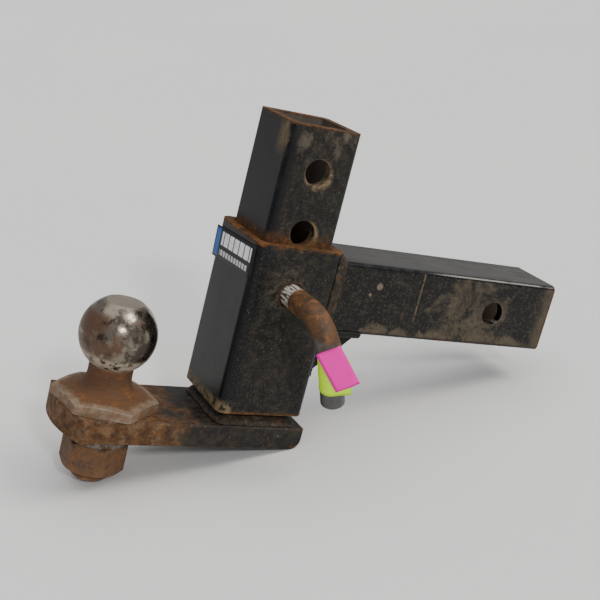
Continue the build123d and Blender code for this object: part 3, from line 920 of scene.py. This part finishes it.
def tag_face(back):
    """A paper rectangle stuck askew on the wrap, its ends lifting a little."""
    out = PIN_R + 0.75 * MM
    shift = Matrix.Translation((out, -TAG_ASIDE, 0))
    place = grip_place(TAG_FROM_END) @ shift @ Matrix.Rotation(TAG_TILT, 4, "X")
    rows = []
    for i in range(17):
        z = TAG_LONG * (i / 16 - 0.5)
        row = []
        for j in range(9):
            y = TAG_WIDE * (j / 8 - 0.5)
            lift = 1.1 * MM * (z / TAG_LONG) ** 2 + 0.5 * MM * noise.noise(Vector((y, z, 0)) / (9 * MM))
            row.append(place @ Vector((lift - 0.9 * MM * (y / TAG_WIDE) ** 2, y, z)))
        rows.append(row)
    mesh = grid_mesh("tag_face_paper", rows)
    obj = add_piece("tag_face_paper", mesh, "pull_pin", "pink_tag", "tag_face")
    thicken(obj, paper("pink_paper", PINK, PINK_FOLD), back, PAPER)


def name_label():
    """The plate on the sleeve's end face: bent round the near corner, straight past the far one."""
    low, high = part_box("name_label")
    half = (SLEEVE_HIGH[0] - SLEEVE_LOW[0]) / 2
    flat, radius = half - SLEEVE_CORNER, SLEEVE_CORNER + LABEL_LIFT
    rows = []
    for i in range(7):
        up = LABEL_TALL * (i / 6 - 0.5)
        row = []
        for j in range(61):
            along = LABEL_LONG * (j / 60 - 0.5)
            y = (low[1] + high[1]) / 2 - along * math.cos(LABEL_TILT) + up * math.sin(LABEL_TILT)
            z = (low[2] + high[2]) / 2 + along * math.sin(LABEL_TILT) + up * math.cos(LABEL_TILT)
            over = max(0.0, -y - flat) / radius
            side = y if over == 0 else -flat - radius * math.sin(over)
            row.append(Vector((POST_X - flat - radius * math.cos(over), side, z)))
        rows.append(row)
    mesh = grid_mesh("name_label_plate", rows)
    obj = add_piece("name_label_plate", mesh, "shank_and_sleeve", "label_plate", "name_label")
    print_side = label_finish()
    thicken(obj, print_side, print_side, LABEL_THICK)


# ---- Room, light and camera -------------------------------------------------------------------
def rest_tilt():
    """The angle at which the hitch lies on its stud's end and the platform's rear edge, and the
    floor's height at that angle, measured from the frame's origin."""
    stud = [v.co for v in frame["nodes"]["hitch_ball"].data.vertices]
    plate = [v.co for v in frame["nodes"]["ball_platform"].data.vertices]
    rear = [p for p in plate if p.x > POST_X]

    def lowest(points, angle):
        up = Vector((-math.sin(angle), 0, math.cos(angle)))
        return min(up.dot(p) for p in points)

    low, high = math.radians(5), math.radians(30)
    for _ in range(40):
        middle = (low + high) / 2
        if lowest(stud, middle) < lowest(rear, middle):
            low = middle
        else:
            high = middle
    return low, lowest(stud, low)


def room(right):
    """The floor's own frame: +Z up from it, +Y the way the camera looks, origin below the sleeve."""
    angle, height = rest_tilt()
    up = Vector((-math.sin(angle), 0, math.cos(angle)))
    side = (right - up * up.dot(right)).normalized()
    foot = Vector((POST_X, 0, 0))
    foot -= up * (up.dot(foot) - height)
    turn = Matrix((side, up.cross(side), up)).transposed().to_4x4()
    return Matrix.Translation(foot) @ turn


def floor(place):
    """A pale sheet, seen only from above: from below it is clear."""
    mesh = bpy.data.meshes.new("floor")
    corners = [Vector((x, y, 0)) * FLOOR_REACH for x, y in ((-1, -1), (1, -1), (1, 1), (-1, 1))]
    mesh.from_pydata([place @ c for c in corners], [], [(0, 1, 2, 3)])
    obj = bpy.data.objects.new("floor", mesh)
    bpy.context.collection.objects.link(obj)
    f = Finish("floor_paper", FLOOR_PALE, 0.75, specular=0.2)
    f.lay(f.blotches(0.3, 0.7, 500.0, 3, 0.5), FLOOR_WARM, 0.8)
    material = f.done()
    clear = f.node("ShaderNodeBsdfTransparent")
    under = f.node("ShaderNodeNewGeometry")
    pick = f.node("ShaderNodeMixShader")
    f.link(under.outputs["Backfacing"], pick.inputs[0])
    f.link(f.shader.outputs[0], pick.inputs[1])
    f.link(clear.outputs[0], pick.inputs[2])
    f.link(pick.outputs[0], f.tree.nodes["Material Output"].inputs[0])
    dress(obj, material)


def soft_light(name, place, towards, spread, strength, colour=(1, 1, 1)):
    """A soft sun lamp: the direction it shines from, and how wide it looks in degrees."""
    data = bpy.data.lights.new(name, "SUN")
    data.angle = math.radians(spread)
    data.energy = strength
    data.color = colour
    obj = bpy.data.objects.new(name, data)
    bpy.context.collection.objects.link(obj)
    where = place.to_3x3() @ Vector(towards).normalized()
    obj.location = place @ Vector((0, 0, 0.1)) + where * 1.5
    obj.rotation_mode = "QUATERNION"
    obj.rotation_quaternion = (-where).to_track_quat("-Z", "Y")


def world(colour, strength, backdrop):
    """An even sky that lights the object. Seen directly, it is as pale as the floor."""
    made = bpy.data.worlds.new("studio")
    made.use_nodes = True
    nodes, links = made.node_tree.nodes, made.node_tree.links
    shade = nodes["Background"]
    shade.inputs["Color"].default_value = (*colour, 1.0)
    shade.inputs["Strength"].default_value = strength
    plain = nodes.new("ShaderNodeBackground")
    plain.inputs["Color"].default_value = (*backdrop, 1.0)
    path = nodes.new("ShaderNodeLightPath")
    pick = nodes.new("ShaderNodeMixShader")
    links.new(path.outputs["Is Camera Ray"], pick.inputs[0])
    links.new(shade.outputs[0], pick.inputs[1])
    links.new(plain.outputs[0], pick.inputs[2])
    links.new(pick.outputs[0], nodes["World Output"].inputs[0])
    bpy.context.scene.world = made


def camera():
    """The camera leans in the part's frame because the part leans on the floor. Returns its right."""
    data = bpy.data.cameras.new("camera")
    data.lens = CAMERA_LENS
    data.sensor_width = 36.0
    obj = bpy.data.objects.new("camera", data)
    bpy.context.collection.objects.link(obj)
    angles = (CAMERA_AZIMUTH, CAMERA_ELEVATION, CAMERA_ROLL)
    azimuth, elevation, roll = (math.radians(a) for a in angles)
    flat = math.cos(elevation)
    forward = Vector((math.sin(azimuth) * flat, math.cos(azimuth) * flat, -math.sin(elevation)))
    level = Vector((math.cos(azimuth), -math.sin(azimuth), 0))
    upright = level.cross(forward)
    right = level * math.cos(roll) + upright * math.sin(roll)
    up = right.cross(forward)
    turn = Matrix((right, up, -forward)).transposed().to_4x4()
    obj.matrix_world = Matrix.Translation(CAMERA_PLACE) @ turn
    bpy.context.scene.camera = obj
    return right


# ---- The scene --------------------------------------------------------------------------------
sleeve_finish()
post_finish()
shank_finish()
gusset_finish()
platform_finish()
ball_finish()
nut_finish()
pin_finish()
weld_bead("platform_weld", "ball_mount", swell=0.55, paint=0.55, seed=140)
weld_bead("shank_weld", "shank_and_sleeve", swell=0.55, paint=0.45, seed=150)
weld_bead("gusset_welds", "shank_and_sleeve", swell=0.4, paint=0.95, seed=160)
stud_thread()
back = paper_back()
tag_wrap(back)
tag_face(back)
name_label()

place = room(camera())
floor(place)
world(colour=(0.94, 0.97, 1.0), strength=0.48, backdrop=(0.99, 0.985, 0.98))
soft_light("ceiling", place, (0.10, 0.10, 1.0), spread=70, strength=1.3)
soft_light("key", place, (0.647, -0.086, 0.759), spread=24, strength=1.3, colour=(1.0, 0.97, 0.93))
soft_light("flash", place, (0.365, -0.754, 0.546), spread=7, strength=1.3, colour=(0.96, 0.98, 1.0))
